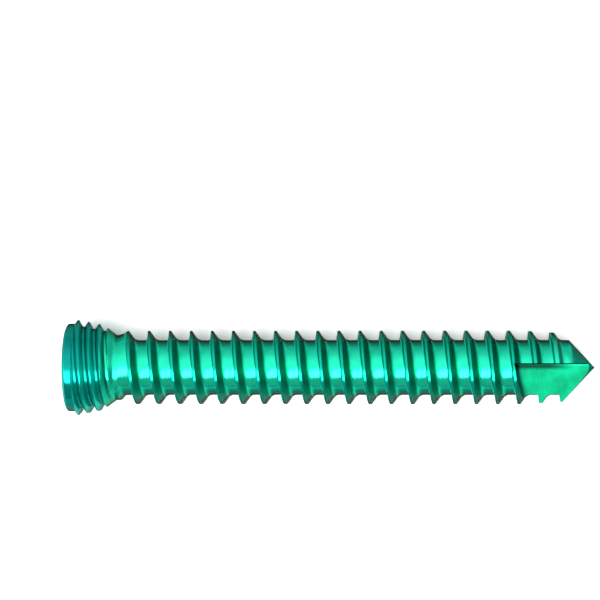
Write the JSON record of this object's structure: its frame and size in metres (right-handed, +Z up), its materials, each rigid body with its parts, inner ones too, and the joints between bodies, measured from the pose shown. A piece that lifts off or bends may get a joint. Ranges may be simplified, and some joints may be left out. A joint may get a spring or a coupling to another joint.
{
  "type": "locking bone screw",
  "caption": "Green anodised locking bone screw with a tapered threaded head, a deep shaft thread and a fluted self-tapping point.",
  "frame": {"origin": "on the screw's axis, in the middle of the head's end face", "axes": "+X along the screw's axis from the head to the tip, +Z up with the screw lying on a table, the first flute's floor facing +Z"},
  "size_m": [0.025, 0.0046, 0.0044],
  "materials": {
    "anodised_titanium": "glossy"
  },
  "bodies": {
    "root": {"locking_bone_screw": "anodised_titanium"}
  },
  "joints": []
}
